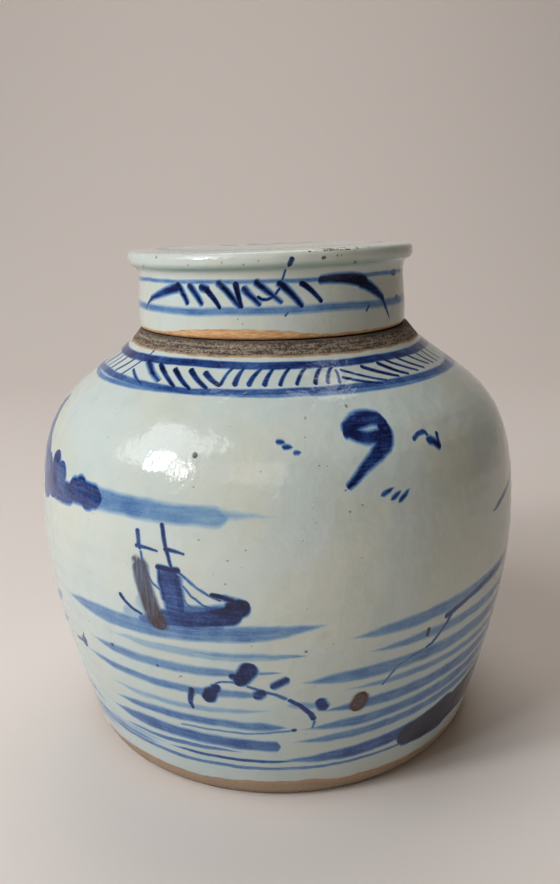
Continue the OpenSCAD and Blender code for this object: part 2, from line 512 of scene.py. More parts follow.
def paint_boat(b):
    # Two masts, each with its yard
    b.line([(-28.7, 123.6), (-28.4, 117.3), (-28.1, 115)], 1.0, NAVY, end_half=0.6)
    b.line([(-28.1, 115), (-27.5, 111), (-26.6, 106.5), (-25.4, 103), (-23.6, 100.5)], 0.5, DEEP)
    b.stroke((-29.4, 116.9), (-24, 115.8), 0.95, NAVY, end_half=0.4)
    b.line([(-23, 127), (-22.3, 117.5), (-21.6, 113), (-21, 110)], 0.9, NAVY, end_half=0.55)
    b.stroke((-22.9, 117.4), (-18.3, 115.9), 0.95, NAVY, end_half=0.45)
    # Sails: the left one is thin and brown over blue, the right one dark at its edges and head
    b.stroke((-28.3, 111.4), (-24.3, 83.5), 3.6, WASH, bend=-1.2, end_half=3.8)
    b.stroke((-21.9, 110.3), (-20.6, 87), 4.2, 0.74, end_half=3.7, end_tone=0.66)
    b.stroke((-20.1, 108), (-19.3, 89), 1.7, NAVY, end_half=1.9, soft=1.8)
    b.stroke((-23.8, 109), (-23, 96), 1.0, NAVY, soft=1.4)
    b.stroke((-24.7, 109.6), (-19.2, 109.4), 1.2, 0.9, soft=1.2)
    b.stroke((-29.5, 97), (-24.5, 87), 4.0, 0.2, soft=4.0)
    # Rigging
    b.line([(-20, 109.3), (-15.8, 103), (-11.2, 98.6)], 0.55, DEEP)
    b.line([(-19, 104), (-17.3, 99.8), (-14.8, 96.6), (-12.6, 95.6)], 0.5, DEEP)
    b.line([(-19, 99), (-18.3, 96.5), (-16.5, 94.4)], 0.45, DEEP)
    # Hull, dark from the sail to its round prow, with a short pennant, and the oar at the stern
    b.stroke((-25, 89), (-7, 94.2), 3.4, 0.7, bend=-0.9, end_half=4.4, end_tone=0.92, soft=1.8)
    b.dab((-8.3, 95.9), 4.1, 0.92, length=10, lean=62)
    b.stroke((-20, 94), (-10, 95.5), 2.2, 0.62, bend=-0.6, soft=2.0)
    b.line([(-13.4, 101.4), (-11, 100.4), (-8.3, 98.8)], 0.95, DARK, end_half=1.5)
    b.stroke((-30, 86.6), (-10.5, 88.6), 2.8, 0.5, bend=-0.6, soft=3.0)
    b.line([(-34.2, 95.4), (-33, 92.4), (-31, 90), (-28.5, 88.4)], 1.0, NAVY, end_half=0.6)
    b.stroke((-34, 88.4), (-25, 85.5), 3.0, PALE, soft=4.0)


def paint_mountains(b):
    b.stroke((-80, 158), (-64, 126), 5.4, 0.66, bend=-1.5, end_half=7.5, end_tone=0.7)
    b.stroke((-67, 119), (-64.5, 139), 8.0, 0.7, end_half=5.6)
    b.stroke((-60.8, 122), (-59.2, 142.4), 6.8, 0.74, end_half=4.0)
    b.stroke((-56.6, 123), (-55.2, 139.6), 6.6, 0.74, end_half=4.6)
    b.stroke((-66, 126.4), (-48, 128.6), 4.6, 0.74)
    b.stroke((-51, 131), (-38.4, 131.2), 5.8, 0.8, end_half=4.6)
    b.stroke((-48.8, 132), (-43, 132.4), 6.4, 0.81, end_half=5.4)
    b.stroke((-46, 129), (-40.5, 130), 4.6, 0.76)
    b.stroke((-42, 131.2), (-9, 130.4), 4.2, 0.5, end_half=3.6, end_tone=0.33, taper=(0, 0.1), soft=2.4)
    b.stroke((-27, 132.2), (2.5, 131), 2.7, 0.42, end_half=1.9, end_tone=0.16, taper=(0.3, 0.7), soft=2.4)


def paint_water_left(b):
    b.strokes((
        (-55, 83.2, 10, 88.4, 3.5, 0.44, -2.3, 0.25, 0.3), (-30, 84.2, 4, 88.2, 1.8, 0.5, -1.4, 0.3, 0.3),
        (-40, 75.6, 7, 75.8, 2.1, PALE, -0.6, 0.3, 0.3), (-20, 75.8, 6, 75.6, 0.9, WASH, 0, 0.3, 0.2),
        (-48, 67.6, -3, 68, 2.2, 0.42, -0.8, 0.3, 0.3), (-10, 67.9, 1, 68.1, 0.7, WASH, 0, 0.1, 0.4),
        (-53, 58.5, -3.8, 57.7, 1.9, 0.44, -0.9, 0.3, 0.1), (-45, 48.2, 1, 50.1, 1.6, 0.3, -1.0, 0.3, 0.4),
        (-45, 40.3, 1.5, 40.6, 2.1, 0.5, 1.4, 0.3, 0.12), (-45, 25.9, -8, 27.2, 1.2, 0.5, 0, 0.4, 0.4),
        (-54, 24, -28, 23.3, 1.7, PALE, 0, 0.3, 0.4), (-30, 23, 5, 21.8, 0.9, 0.66, 0, 0.3, 0.3),
        (-66, 23.2, -30, 20.8, 1.3, 0.46, 0, 0.2, 0.5), (-76, 19.5, -47, 16.4, 2.6, 0.34, 0, 0.2, 0.5),
        (-70, 36, -50, 28.5, 1.4, 0.4, 0, 0.3, 0.5), (-80, 60, -61.5, 77, 2.0, 0.6),
        (-82, 49, -60, 66, 1.7, 0.6, 0, 0, 0.3), (-52.2, 62, -51.8, 66, 0.6, NAVY, 0, 0, 0.5),
        (-57, 59.2, -53, 60.3, 0.9, NAVY),
    ))
    b.stroke((-47, 33.3), (-0.1, 30.6), 3.0, 0.6, bend=0.5, taper=(0.3, 0.03), end_tone=0.56)
    b.line([(-24, 37.6), (-8, 37.4), (2, 39)], 0.55, 0.48)
    b.line([(-64, 20.6), (-20, 18.1), (10, 17.8), (37, 20)], 1.2, 0.5, end_half=0.8)
    b.dab((-39.5, 68.4), 0.9, NAVY)
    b.dab((-27, 65.5), 0.8, DEEP)
    b.dab((2.6, 39.4), 0.9, 0.76, length=2.6, lean=90)
    b.dab((-52.3, 60.5), 2.3, NAVY, length=6, lean=10)


def paint_water_right(b):
    b.strokes((
        (13, 80.8, 74, 91, 3.0, 0.42, -0.8, 0.3, 0.3), (17, 73.4, 86, 78.5, 2.2, 0.42, -0.2, 0.25, 0.3),
        (3, 63, 78, 69.8, 2.9, 0.45, -0.4, 0.2, 0.25), (11, 57.3, 88, 62.5, 1.7, 0.4, -0.5, 0.25, 0.3),
        (7, 48.2, 76, 56, 2.7, 0.48, -0.9, 0.25, 0.2), (0.5, 52.2, 8.5, 51.6, 1.6, 0.32, 0, 0.3, 0.3),
        (3, 39.4, 68, 48.8, 2.6, 0.48, -1.1, 0.25, 0.15), (1, 32.9, 64, 42.6, 2.1, 0.46, -1.3, 0.25, 0.15),
    ))
    b.stroke((-2, 22.3), (42, 29.5), 3.4, 0.56, bend=-1.4, taper=(0.5, 0.02), end_tone=0.7)
    # The dark rock that climbs round the right side
    b.stroke((29.2, 23.2), (50, 27), 5.2, 1.0, end_half=10.5, bend=-0.6)
    b.stroke((38, 24.5), (90, 38), 6.5, 1.0, end_half=13, bend=-1.5, taper=(0, 0.35))
    b.stroke((66, 38), (84, 50), 6.0, 0.96, end_half=3.0)
    # The branch above the water, and its fine twig
    b.line([(37.2, 79.2), (42, 82), (50, 85.5), (56, 87.2), (68, 89.4), (82.5, 92)], 1.3, NAVY, end_half=1.6)
    b.line([(39.5, 80), (38.4, 76.5), (36.2, 72.4), (34.5, 69.4), (32.3, 67.7)], 0.9, 0.76, end_half=0.6)
    b.line([(32.3, 67.7), (28.2, 65.6), (25.7, 63.5), (24, 60.4), (22.1, 56)], 0.6, DEEP, end_half=0.5)
    b.stroke((53, 115.5), (72, 123), 1.1, NAVY, taper=(0.3, 0))
    b.dabs((
        (74.5, 92, 2.0, 8, 60), (78, 88.6, 1.8, 8, 110), (83, 95, 2.2, 9, 65),
        (86.5, 90.5, 1.9, 8, 100), (74, 125.6, 1.8, 8, 55), (77.5, 121.8, 1.6, 8, 95),
        (80.5, 127.5, 1.7, 8, 65),
    ), NAVY)


def paint_sprig(b):
    b.line([(-19.2, 58.8), (-19.8, 54.5), (-20.2, 50.5), (-19.7, 47.2)], 1.6, 0.84, end_half=0.7)
    b.stroke((-14.3, 59.6), (-16.6, 52.3), 3.2, 0.86)
    b.stroke((-13, 61.2), (-14.8, 57), 2.3, 0.86)
    b.stroke((-9.4, 61.8), (-5.6, 72.4), 3.2, 0.86, end_half=3.7)
    b.strokes((
        (-10.9, 66.3, -7.5, 65.4, 1.9, NAVY), (-6, 56, -3.3, 60.2, 2.2, NAVY),
        (-2.4, 61.3, 1.8, 65.4, 1.6, NAVY), (7.7, 55.2, 9.5, 48.7, 2.5, NAVY),
    ))
    b.line([(-14, 61.6), (-12.5, 62.9), (-10.6, 63.1), (-9.3, 62.6)], 0.5, DEEP)
    b.line([(-7.2, 61.9), (-4.8, 60.4), (-1.6, 58.2), (1.2, 55.2)], 0.6, DEEP, end_half=0.95)
    b.line([(1.2, 55.2), (3.8, 52), (6, 47.8), (7.2, 44)], 0.95, NAVY, end_half=1.3)
    b.line([(7.2, 44), (6.9, 41.8), (6.5, 39.6)], 0.8, DEEP, end_half=0.45)


def paint_curl(b):
    b.stroke((14.6, 156.6), (26.6, 159.2), 2.7, 0.86, bend=3.3)
    b.stroke((14.8, 158.8), (24.6, 155.6), 2.3, 0.84, bend=-1.7)
    b.stroke((25.2, 161.6), (21.3, 149.6), 3.5, 0.88, bend=2.6, end_half=2.9)
    b.stroke((24.6, 153.8), (13.8, 139.4), 3.1, 0.86, end_half=1.1, bend=-0.4)
    b.dab((15.9, 158.7), 2.2, NAVY, length=5)


def paint_ticks(b):
    for start, end in (
        ((-0.5, 156), (2, 155.2)), ((0.8, 154.2), (3.6, 154)), ((3.2, 152), (5.1, 152.4)),
        ((20.4, 135), (24.2, 137.8)), ((22.6, 133.2), (25.6, 136.2)), ((24.3, 131.6), (27.6, 136.4)),
    ):
        b.stroke(start, end, 0.85, 0.7, taper=(0.3, 0.5), soft=1.0)
    b.line([(31, 152.1), (33, 153.9), (35, 154.2), (35.8, 152.6)], 0.85, 0.74)
    b.line([(34.6, 151.6), (36.5, 150.8), (38.3, 148)], 1.5, 0.86)
    b.stroke((37.6, 148.6), (38.8, 153.4), 0.8, 0.8)


def paint_back(b):
    """The side away from the camera carries the same kind of view: far hills, water lines and an islet."""
    b.strokes((
        (-62, 127, -8, 131, 5.2, 0.5, 1.2, 0.2, 0.3), (-46, 131, -28, 135, 5.5, DEEP, 2.5),
        (12, 133, 58, 129, 4.4, 0.46, 1.5, 0.3, 0.2), (26, 134, 40, 134, 4.0, 0.7, 2.0),
    ))
    b.strokes((
        (-80, 88, -12, 84, 2.8, 0.42), (-62, 75, -4, 74, 2.2, 0.36), (-83, 64, -20, 61, 2.6, 0.46),
        (-56, 52, 10, 50, 1.9, 0.4), (-82, 42, -6, 38, 2.6, 0.5), (-76, 29, 2, 26, 2.3, 0.48),
        (4, 80, 80, 86, 2.7, 0.42), (14, 68, 84, 72, 2.3, 0.44), (2, 57, 70, 60, 2.0, 0.4),
        (16, 44, 83, 49, 2.5, 0.46), (8, 32, 78, 36, 2.2, 0.5), (-78, 53, -48, 57, 1.6, 0.36),
    ), bend=-0.8, taper=(0.3, 0.25))
    b.line([(-94, 17.5), (-30, 18.4), (30, 17.6), (94, 19)], 0.9, 0.54)
    # Islet with two trees
    b.stroke((-14, 97), (16, 97.5), 4.2, 0.84, bend=2.0, taper=(0.25, 0.25))
    b.stroke((-22, 93), (26, 93), 2.6, 0.46, taper=(0.3, 0.3))
    b.line([(-3, 99), (-4, 108), (-2, 117)], 0.9, NAVY, end_half=0.5)
    b.line([(5, 99), (6.5, 106), (5.5, 112)], 0.8, NAVY, end_half=0.5)
    b.dabs((
        (-5.5, 117, 2.4, 9, 80), (0.5, 119, 2.6, 9, 100), (-2, 112, 2.0, 8, 85),
        (6, 113.5, 2.3, 8, 95), (8.5, 109.5, 1.7, 6, 80),
    ), 0.78)


def paint_shoulder_hatching(b):
    """Short slanting strokes between the two lines, laid in groups that lean either way."""
    b.strokes((
        (-77, 172, -72.4, 178.2, 0.7, 0.5), (-72, 172, -68.2, 178.2, 0.85, 0.56),
        (-67.4, 172, -63.2, 178.6, 0.8, 0.66), (-62.4, 172, -56.4, 178.6, 0.8, 0.72),
        (-56.8, 171, -50.3, 180.6, 0.6, 0.76), (-52.6, 174.4, -42, 170.4, 0.6, NAVY),
    ), bend=-0.5)
    b.dab((-50.3, 180.9), 0.7, DARK)
    for start, end, half, thin in (
        ((-49, 178.2), (-36.5, 172), 1.5, 0.8), ((-42, 178), (-29.8, 170.8), 1.15, 0.65),
        ((-34.6, 176.8), (-24.4, 170.6), 1.2, 0.7), ((-28.4, 177), (-19.4, 171), 1.3, 0.7),
        ((-22.8, 176.5), (-15.8, 171.9), 1.3, 0.8),
    ):
        b.stroke(start, end, half, 0.9, end_half=thin, bend=-0.3)
    for foot, top, half in (
        (-16.1, -13.6, 0.8), (-11.9, -10, 1.35), (-7.9, -4.2, 1.25), (-3.2, -0.5, 1.15), (1.1, 4.7, 0.85),
        (6, 9.8, 0.8), (11.3, 14.9, 0.95), (15, 18.6, 0.8),
    ):
        b.stroke((foot, 172.1), (top, 178), half, 0.84, end_half=0.7, bend=0.7)
    b.stroke((18.5, 171.9), (19.1, 176.6), 0.55, NAVY, bend=-0.4)
    for start, end, half, thin in (
        ((20.4, 176.4), (34.6, 171.3), 0.65, 0.6), ((19.9, 173.9), (32.5, 170.6), 0.75, 0.7),
        ((27.9, 176.9), (40, 171.9), 1.1, 0.7), ((34.7, 177.2), (44.6, 171.9), 1.15, 0.75),
        ((38.8, 177.8), (50, 172.2), 0.75, 0.6), ((44.6, 178), (54.2, 172.4), 0.75, 0.6),
        ((51, 178.2), (59, 173), 0.75, 0.6), ((57.5, 178.2), (62.5, 172.6), 0.8, 0.6),
        ((63.5, 178.3), (66.5, 172.6), 0.8, 0.6), ((69, 178.3), (71, 172.6), 0.8, 0.6),
    ):
        b.stroke(start, end, half, 0.86, end_half=thin, bend=-0.4)


HATCH_PITCH = 5.0
HATCH_LEAN = 0.75
HATCH_HIDDEN_FROM = 74


def add_far_hatching(w, b, azimuth, height):
    """The hatching carries on round the back as an even row of slanting strokes."""
    slanted = w.scaled(height, -HATCH_LEAN, azimuth)
    place = w.minus(w.math("WRAP", slanted, HATCH_PITCH, 0.0), HATCH_PITCH / 2)
    cover = w.math("MULTIPLY", w.math("SUBTRACT", 0.95, w.math("ABSOLUTE", place)), 2.2, clamp=True)
    between = w.times(w.rise(height, 171.6, 172.1), w.rise(height, 178.3, 177.8))
    hidden = w.rise(w.math("ABSOLUTE", azimuth), HATCH_HIDDEN_FROM - 0.5, HATCH_HIDDEN_FROM + 0.5)
    row = w.times(w.times(cover, between), w.times(hidden, 0.78))
    b.density = w.math("MAXIMUM", row, b.density)


def paint_cover_wall(b):
    # The long leaf on the left, a row of slanting blades, and the large leaf on the right
    b.stroke((-63.6, 196.8), (-55.5, 202.7), 0.5, 0.84, end_half=1.0, bend=0.4)
    b.stroke((-58.5, 201.6), (-37.6, 207.4), 0.9, 0.86, end_half=2.1, bend=0.2)
    b.dab((-39, 208.3), 1.1, DARK, length=3, lean=70)
    for start, end, half, thin, bend in (
        ((-40, 209.2), (-33.4, 200.4), 1.7, 0.9, 0.5), ((-33.6, 208.9), (-26.9, 200.1), 1.6, 0.9, 0.4),
        ((-28.6, 207.8), (-23.6, 206.2), 1.6, 1.3, 0.0), ((-26, 207.2), (-19.2, 198.7), 1.4, 0.8, 0.4),
        ((-20.8, 209.9), (-11.1, 199.1), 1.55, 0.9, 0.3), ((-13.2, 209.8), (-10.8, 199), 1.4, 0.8, -0.2),
        ((-10.6, 207.8), (-3.7, 199.9), 1.55, 0.85, -0.2), ((-6.2, 210), (4.5, 200.7), 1.5, 0.7, 0.0),
        ((2.6, 209.4), (12.1, 198.8), 1.65, 1.0, 0.5), ((11, 208.8), (19.6, 200.2), 1.25, 0.8, 0.6),
    ):
        b.stroke(start, end, half, 0.96, end_half=thin, bend=bend)
    b.line([(-5.2, 203.7), (-3.4, 202.4), (-1.2, 202.3), (1.2, 203.4), (3.9, 206.8)], 0.7, 0.86, end_half=0.5)
    b.stroke((4.5, 209), (5.8, 213.9), 0.4, NAVY)
    b.stroke((6.4, 214.6), (8.2, 218.7), 0.95, 0.86, taper=(0.3, 0.2))
    b.stroke((18, 208.8), (41.5, 206.6), 1.5, 0.98, bend=1.4, end_half=2.7)
    b.stroke((36, 207.6), (51, 199), 2.6, 0.95, bend=0.8, end_half=1.3)
    b.stroke((48.5, 201.3), (56.2, 190), 1.25, 0.84, end_half=0.5, taper=(0, 0.6))
    b.strokes((
        (4.9, 195.9, 6.6, 197.8, 0.35, NAVY), (39.4, 195.6, 41.7, 198.1, 0.45, NAVY),
        (61, 199, 67, 197.6, 1.4, 0.7), (58, 209.3, 63.5, 209.3, 1.3, 0.72),
    ))
    # The far side: a plain spray of the same blades
    for turn in (118, 240):
        b.stroke((turn - 24, 198), (turn - 2, 207), 0.8, 0.84, end_half=1.8, bend=0.5, taper=(0.5, 0))
        b.stroke((turn + 4, 208.6), (turn + 28, 199.5), 1.9, 0.88, end_half=0.6, bend=1.0, taper=(0, 0.5))
        for blade in range(4):
            b.stroke((turn - 8 + 5 * blade, 208.6), (turn - 3 + 5 * blade, 200.6), 1.1, 0.86, end_half=0.6)


def paint_cover_top(b):
    """A spray of leaves on the flat of the cover, where the sheet is plain x and y."""
    b.line([(-26, -18), (-12, -8), (4, -2), (24, 8)], 0.7, NAVY, end_half=0.4)
    for start, end, half in (
        ((-14, -9), (-22, 6), 2.6), ((-6, -6), (-8, 12), 2.8), ((4, -2), (8, 16), 2.8),
        ((14, 3), (22, 18), 2.4), ((-10, -8), (2, -22), 2.6), ((0, -4), (16, -16), 2.6),
        ((12, 2), (29, -4), 2.2),
    ):
        b.stroke(start, end, half, 0.82, bend=1.2, taper=(0.2, 0.45))


# ---- glaze, cobalt and clay

COBALT = (
    (0.0, linear(196, 208, 203)),
    (0.16, linear(164, 184, 194)),
    (0.34, linear(118, 152, 184)),
    (0.52, linear(76, 112, 162)),
    (0.68, linear(44, 74, 132)),
    (0.84, linear(23, 40, 94)),
    (1.0, linear(6, 11, 38)),
)
# The least density at which the paint hides the glaze's own colour
FULL_PAINT = COBALT[1][0]
GLAZE_COOL = linear(193, 203, 200)
GLAZE_WARM = linear(198, 202, 191)
GLAZE_POOL = linear(168, 184, 174)
CLAY_GREY = linear(150, 134, 116)
CLAY_TAN = linear(190, 150, 112)
CLAY_ORANGE = linear(196, 138, 82)
# Dark clay colour, used for real dirt smears and for the painted shade under the cover
CLAY_DIRT_AND_SHADE = linear(56, 46, 38)
IRON_BLACK = linear(34, 24, 20)
RUST = linear(86, 52, 38)
RUST_MIDDLE = linear(78, 74, 82)


class Surface:
    """A material in the making, with the coordinates that every part of it shares."""

    def __init__(self, name):
        self.material = bpy.data.materials.new(name)
        self.material.use_nodes = True
        tree = self.tree = self.material.node_tree
        self.shader = tree.nodes["Principled BSDF"]
        self.w = Wiring(tree)
        self.point = self.w.add("ShaderNodeAttribute", {}, "Vector", attribute_name="clay_point")
        parts = tree.nodes.new("ShaderNodeSeparateXYZ")
        tree.links.new(self.point, parts.inputs[0])
        self.x, self.y, self.z = parts.outputs
        self.fine = self.noise(1.6, 3.0, 0.6)
        self.broad = self.noise(34.0, 2.0, 0.5)

    def noise(self, wavelength, detail=2.0, rough=0.5, pick=0):
        return self.w.noise(self.point, wavelength, detail, rough, pick)

    def azimuth(self, back=False):
        """Degrees round the axis from the front, or from the back."""
        w = self.w
        if back:
            turn = w.math("ARCTAN2", w.times(self.x, -1.0), self.y)
        else:
            turn = w.math("ARCTAN2", self.x, w.times(self.y, -1.0))
        return w.times(turn, math.degrees(1))

    def sheet(self, across, up, scale, level=0.0, shake=1.0):
        """The flat sheet that a brush works on, shaken a little so that no edge is ruled."""
        w = self.w
        s = w.times(across, scale[0])
        t = w.times(w.minus(up, level), scale[1])
        flat = w.add("ShaderNodeCombineXYZ", {0: s, 1: t, 2: 1.0})
        slow = self.noise(10.0, 5.0, 0.52, pick=1)
        reach = 0.9 * shake
        offset = w.vector("MULTIPLY_ADD", slow, (2 * reach, 2 * reach, 0), (-reach, -reach, 0))
        return w.vector("ADD", flat, offset)

    def paint_colour(self, density, sheet):
        """Cobalt under glaze: streaks along the brush, soft pooling, and black specks where it is heaped."""
        w = self.w
        streak = w.streaks(sheet, (0.06, 0.85, 0.0), 3.0, 0.6)
        pool = self.noise(9.0, 3.0, 0.55)
        grain = self.noise(1.0, 2.0, 0.6)
        vary = w.scaled(streak, 0.6, w.scaled(pool, 0.7, 0.17))
        shown = w.times(density, w.scaled(grain, 0.36, vary))
        colour = w.colours(shown, COBALT)
        speck = w.times(w.rise(self.noise(0.9, 1.0), 0.62, 0.7), w.rise(density, 0.6, 0.85))
        return w.mix(w.times(speck, 0.7), colour, COBALT[-1][1])

    def painted(self, glaze, density, sheet):
        """The glaze with the painting over it."""
        return self.w.mix(self.w.rise(density, 0.0, FULL_PAINT), glaze, self.paint_colour(density, sheet))

    def glaze_colour(self):
        """The bluish white glaze, a little warmer in places, with small grey specks."""
        w = self.w
        base = w.mix(w.rise(self.broad, 0.36, 0.66), GLAZE_COOL, GLAZE_WARM)
        cloud = w.rise(self.noise(14.0, 3.0, 0.6), 0.42, 0.75, 0.0, 0.24)
        base = w.mix(cloud, base, GLAZE_POOL)
        dots = w.add("ShaderNodeTexVoronoi", {"Vector": self.point, "Scale": 1 / 3.8, "Randomness": 1.0})
        size = w.rise(self.noise(11.0, 1.0), 0.38, 0.72, 0.0, 0.09)
        dot = w.times(w.rise(dots, w.times(size, 1.15), size), 0.6)
        return w.mix(dot, base, linear(92, 88, 80))

    def clay_colour(self, dirt, warmth):
        """Bare stoneware: grainy, greyed by handling, with tan and dirt as asked."""
        w = self.w
        grit = self.noise(1.1, 4.0, 0.7)
        lines = w.streaks(self.point, (0.08, 0.08, 1.4), 4.0, 0.65)
        base = w.mix(warmth, CLAY_GREY, CLAY_TAN)
        base = w.mix(w.rise(grit, 0.5, 0.68, 0.0, 0.6), base, linear(204, 192, 174))
        smear = w.math("ADD", w.times(lines, 0.45), w.times(grit, 0.7))
        smear = w.times(w.rise(smear, 0.48, 0.66), dirt)
        return w.mix(smear, base, CLAY_DIRT_AND_SHADE)

    def finish(self, colour, bare, bumps=1.0):
        """bare is 1 on clay and 0 on glaze."""
        w = self.w
        ripple = self.noise(7.5, 3.0, 0.5)
        gloss = w.scaled(self.fine, 0.1, w.scaled(self.broad, 0.1, 0.02))
        rough = w.scaled(bare, 0.7, gloss)
        grain = self.noise(0.8, 3.0, 0.7)
        clay_height = w.times(w.times(grain, bare), 0.35)
        glaze_height = w.scaled(ripple, 0.42 * bumps, w.times(self.fine, 0.025))
        step = w.scaled(bare, -0.3, glaze_height)
        height = w.math("ADD", step, clay_height)
        bump = w.add("ShaderNodeBump", {"Strength": 1.0, "Distance": MM, "Height": height}, "Normal")
        for name, socket in (("Base Color", colour), ("Roughness", rough), ("Normal", bump)):
            self.tree.links.new(socket, self.shader.inputs[name])
        self.shader.inputs["IOR"].default_value = 1.5
        return self.material


# Where the glaze stops on the foot, the shoulder and the cover's skirt, and where the glaze pools green under
# the rim, with painted shade in that crease
FOOT_GLAZE_MM = 9.6
SHOULDER_GLAZE_MM = 181.5
SKIRT_GLAZE_MM = 188.1
COVER_POOL_AND_SHADE_MM = 214.6


def pot_belly(name, back):
    """The glazed belly, front or back, down to the bare clay of the foot band."""
    s = Surface(name)
    w = s.w
    azimuth = s.azimuth(back)
    sheet = s.sheet(azimuth, s.z, BELLY_SCALE)
    b = Brush(w, sheet, BELLY_SCALE)
    if back:
        paint_back(b)
    else:
        for paint in (
            paint_boat, paint_mountains, paint_water_left, paint_water_right,
            paint_sprig, paint_curl, paint_ticks,
        ):
            paint(b)
    # The glaze is darker and bluer towards the foot
    low = w.rise(s.z, 104.0, 14.0, 0.0, 0.3)
    colour = w.mix(low, s.glaze_colour(), linear(150, 174, 182))
    colour = s.painted(colour, b.density, sheet)
    if not back:
        colour = add_iron(s, sheet, colour)
    wander = w.scaled(s.noise(26.0, 3.0, 0.6), 7.0, FOOT_GLAZE_MM - 3.5)
    bare = w.rise(w.minus(wander, s.z), -0.15, 0.35)
    edge = w.rise(w.minus(wander, s.z), 3.2, 0.2)
    warmth = w.times(edge, w.rise(s.broad, 0.3, 0.6))
    dirt = w.rise(s.z, 5.0, 0.0, 0.25, 1.0)
    clay = s.clay_colour(dirt, w.scaled(warmth, 0.5, 0.3))
    return s.finish(w.mix(bare, colour, clay), bare)


def add_iron(s, sheet, colour):
    """The brown sail, the rust oval and the iron specks in the glaze."""
    w = s.w
    hair = w.streaks(sheet, (1.3, 0.09, 0.0), 3.0, 0.7)
    sail = Brush(w, sheet, BELLY_SCALE)
    sail.stroke((-28.4, 111.6), (-24.2, 83.2), 3.3, 1.0, bend=-1.2, end_half=3.8, soft=1.6)
    sail.stroke((-30.2, 111.6), (-26.6, 109.6), 1.5, 1.0)
    streaks = w.times(sail.density, w.rise(hair, 0.32, 0.62, 0.68, 1.0))
    brown = w.mix(w.rise(s.z, 104.0, 88.0), linear(72, 68, 82), linear(66, 50, 46))
    colour = w.mix(streaks, colour, brown)
    rust = Brush(w, sheet, BELLY_SCALE)
    rust.dab((17, 50.3), 3.5, 1.0, length=10, lean=20)
    colour = w.mix(rust.density, colour, linear(66, 38, 30))
    middle = Brush(w, sheet, BELLY_SCALE)
    middle.dab((17, 50.2), 2.5, 1.0, length=7.6, lean=20)
    colour = w.mix(middle.density, colour, w.mix(w.rise(s.fine, 0.42, 0.58), RUST, RUST_MIDDLE))
    specks = Brush(w, sheet, BELLY_SCALE)
    for place, half, tone in (
        ((-17.3, 151), 1.1, 0.9), ((17.8, 165.2), 0.6, 0.7), ((6.8, 162.5), 0.5, 0.5),
        ((14, 131.2), 0.5, 0.6), ((13.4, 139), 0.5, 0.7), ((16.8, 133), 0.4, 0.6), ((-6.3, 119), 0.4, 0.6),
        ((-15.5, 122), 0.4, 0.6), ((-9.8, 114.7), 0.4, 0.6), ((-10.5, 105.8), 0.4, 0.6),
        ((-21.5, 63), 0.5, 0.7), ((5, 77.5), 0.6, 0.8), ((-14.8, 89), 0.7, 0.6),
    ):
        specks.dab(place, half, tone)
    specks.dab((32.7, 75), 0.9, 0.95, length=4.4)
    return w.mix(specks.density, colour, IRON_BLACK)


def pot_shoulder():
    """The painted band, and above it the bare ring that the cover stood on in the kiln."""
    s = Surface("pot_shoulder")
    w = s.w
    azimuth = s.azimuth()
    sheet = s.sheet(azimuth, s.z, SHOULDER_SCALE, SHOULDER_LEVEL, shake=0.5)
    b = Brush(w, sheet, SHOULDER_SCALE, SHOULDER_LEVEL)
    paint_shoulder_hatching(b)
    add_far_hatching(w, b, azimuth, s.z)
    slow = s.noise(60.0, 1.0, 0.4)
    drift = w.scaled(slow, 3.6, -1.8)
    b.ring(170.6, 1.5, 0.64, drift, soft=1.0)
    b.ring(169.5, 1.1, 0.5, w.scaled(slow, -3.0, 1.5), soft=1.0)
    b.ring(178.7, 1.9, 0.76, w.scaled(slow, -3.6, 1.8), soft=1.0)
    colour = s.painted(s.glaze_colour(), b.density, sheet)
    wander = w.scaled(s.noise(9.0, 3.0, 0.6), 1.6, -0.8)
    height = w.math("ADD", s.z, wander)
    bare = w.rise(height, SHOULDER_GLAZE_MM - 0.5, SHOULDER_GLAZE_MM)
    lip = w.rise(height, SHOULDER_GLAZE_MM + 0.6, SHOULDER_GLAZE_MM)
    dirt = w.rise(s.z, SHOULDER_GLAZE_MM, SHOULDER_GLAZE_MM + 0.9, 0.3, 1.0)
    clay = s.clay_colour(dirt, w.times(lip, 0.5))
    clay = w.mix(w.times(lip, w.rise(s.fine, 0.4, 0.56, 0.1, 0.8)), clay, linear(188, 144, 98))
    scratch = w.streaks(s.point, (0.16, 0.16, 1.1), 4.0, 0.7)
    clay = w.mix(w.rise(scratch, 0.5, 0.66, 0.0, 0.7), clay, linear(62, 50, 42))
    clay = w.mix(w.rise(scratch, 0.46, 0.34, 0.0, 0.35), clay, linear(176, 160, 140))
    fleck = w.math("GREATER_THAN", s.noise(1.5, 3.0, 0.7), 0.63)
    clay = w.mix(w.times(fleck, 0.8), clay, linear(34, 27, 22))
    # Painted shade on the bare ring just under the cover's foot, where the cover shades the pot
    seat_shade = w.rise(s.z, 184.8, 187.0, 0.0, 0.7)
    clay = w.mix(seat_shade, clay, CLAY_DIRT_AND_SHADE)
    return s.finish(w.mix(bare, colour, clay), bare)


def plain_clay(name, dirt):
    s = Surface(name)
    w = s.w
    clay = s.clay_colour(dirt, w.rise(s.broad, 0.35, 0.65, 0.1, 0.7))
    bare = w.scaled(s.fine, 0.05, 0.95)
    return s.finish(clay, bare)


def plain_glaze(name):
    """Unpainted glaze, as inside the pot and under its foot, with a few pits."""
    s = Surface(name)
    colour = s.w.mix(s.w.rise(s.broad, 0.4, 0.7, 0.0, 0.5), s.glaze_colour(), GLAZE_POOL)
    bare = s.w.times(s.w.rise(s.fine, 0.72, 0.78), 0.6)
    return s.finish(colour, bare)


